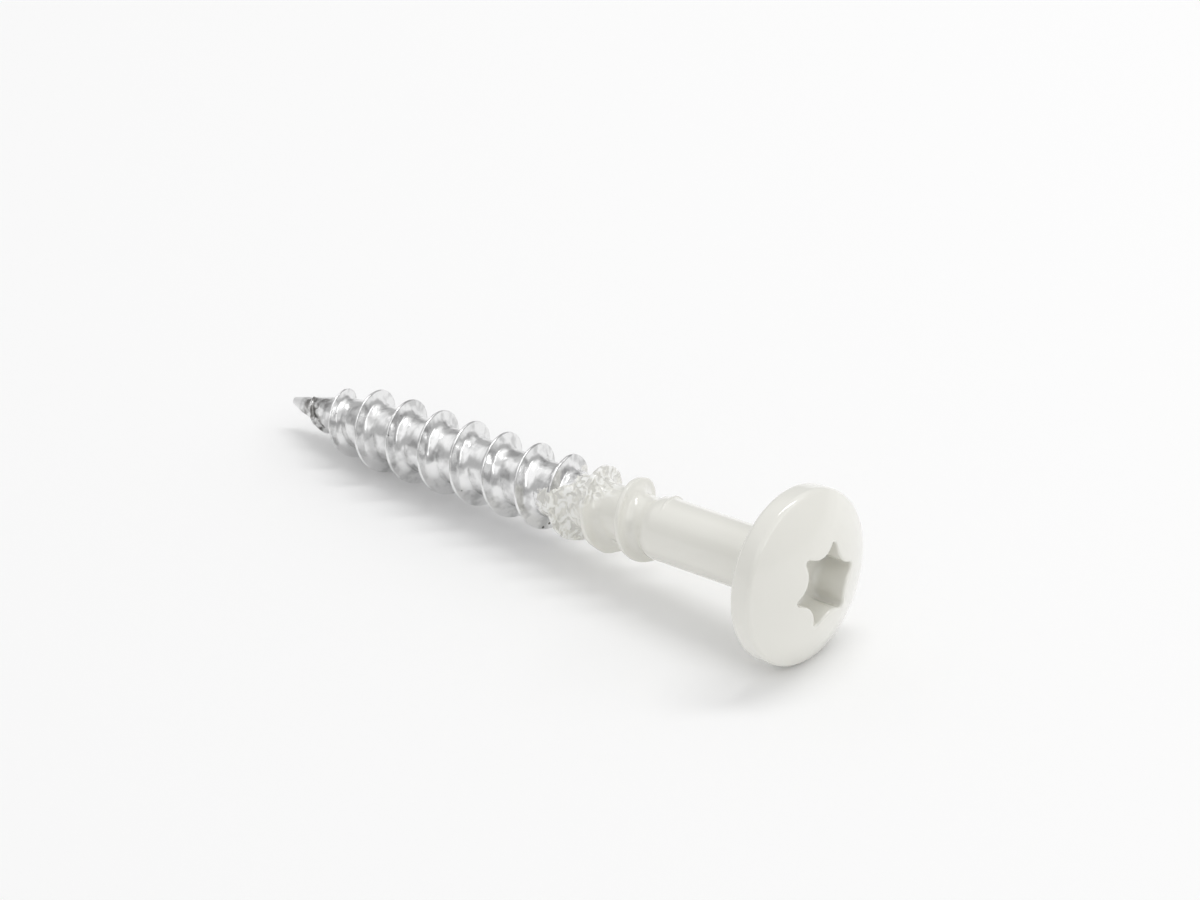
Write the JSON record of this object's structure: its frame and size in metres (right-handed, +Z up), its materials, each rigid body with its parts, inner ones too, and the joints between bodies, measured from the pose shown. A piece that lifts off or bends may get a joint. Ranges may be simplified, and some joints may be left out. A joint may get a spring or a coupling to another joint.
{
  "type": "facade screw",
  "caption": "Facade screw with a low domed head, six-lobed recess, plain shank and coarse thread, lying on its side.",
  "frame": {"origin": "centre of the bounding box in X and Y, on the surface that the lying screw rests on", "axes": "+Z up; the screw's long direction runs along X with the tip toward +X, and its axis falls toward the tip because the head's rim and the thread's crests both touch the surface"},
  "size_m": [0.0482, 0.012, 0.012],
  "materials": {
    "lacquered_stainless": "gloss white lacquer on head, shank and first turns, bright bare steel beyond"
  },
  "bodies": {
    "root": {"facade_screw": "lacquered_stainless"}
  },
  "joints": []
}
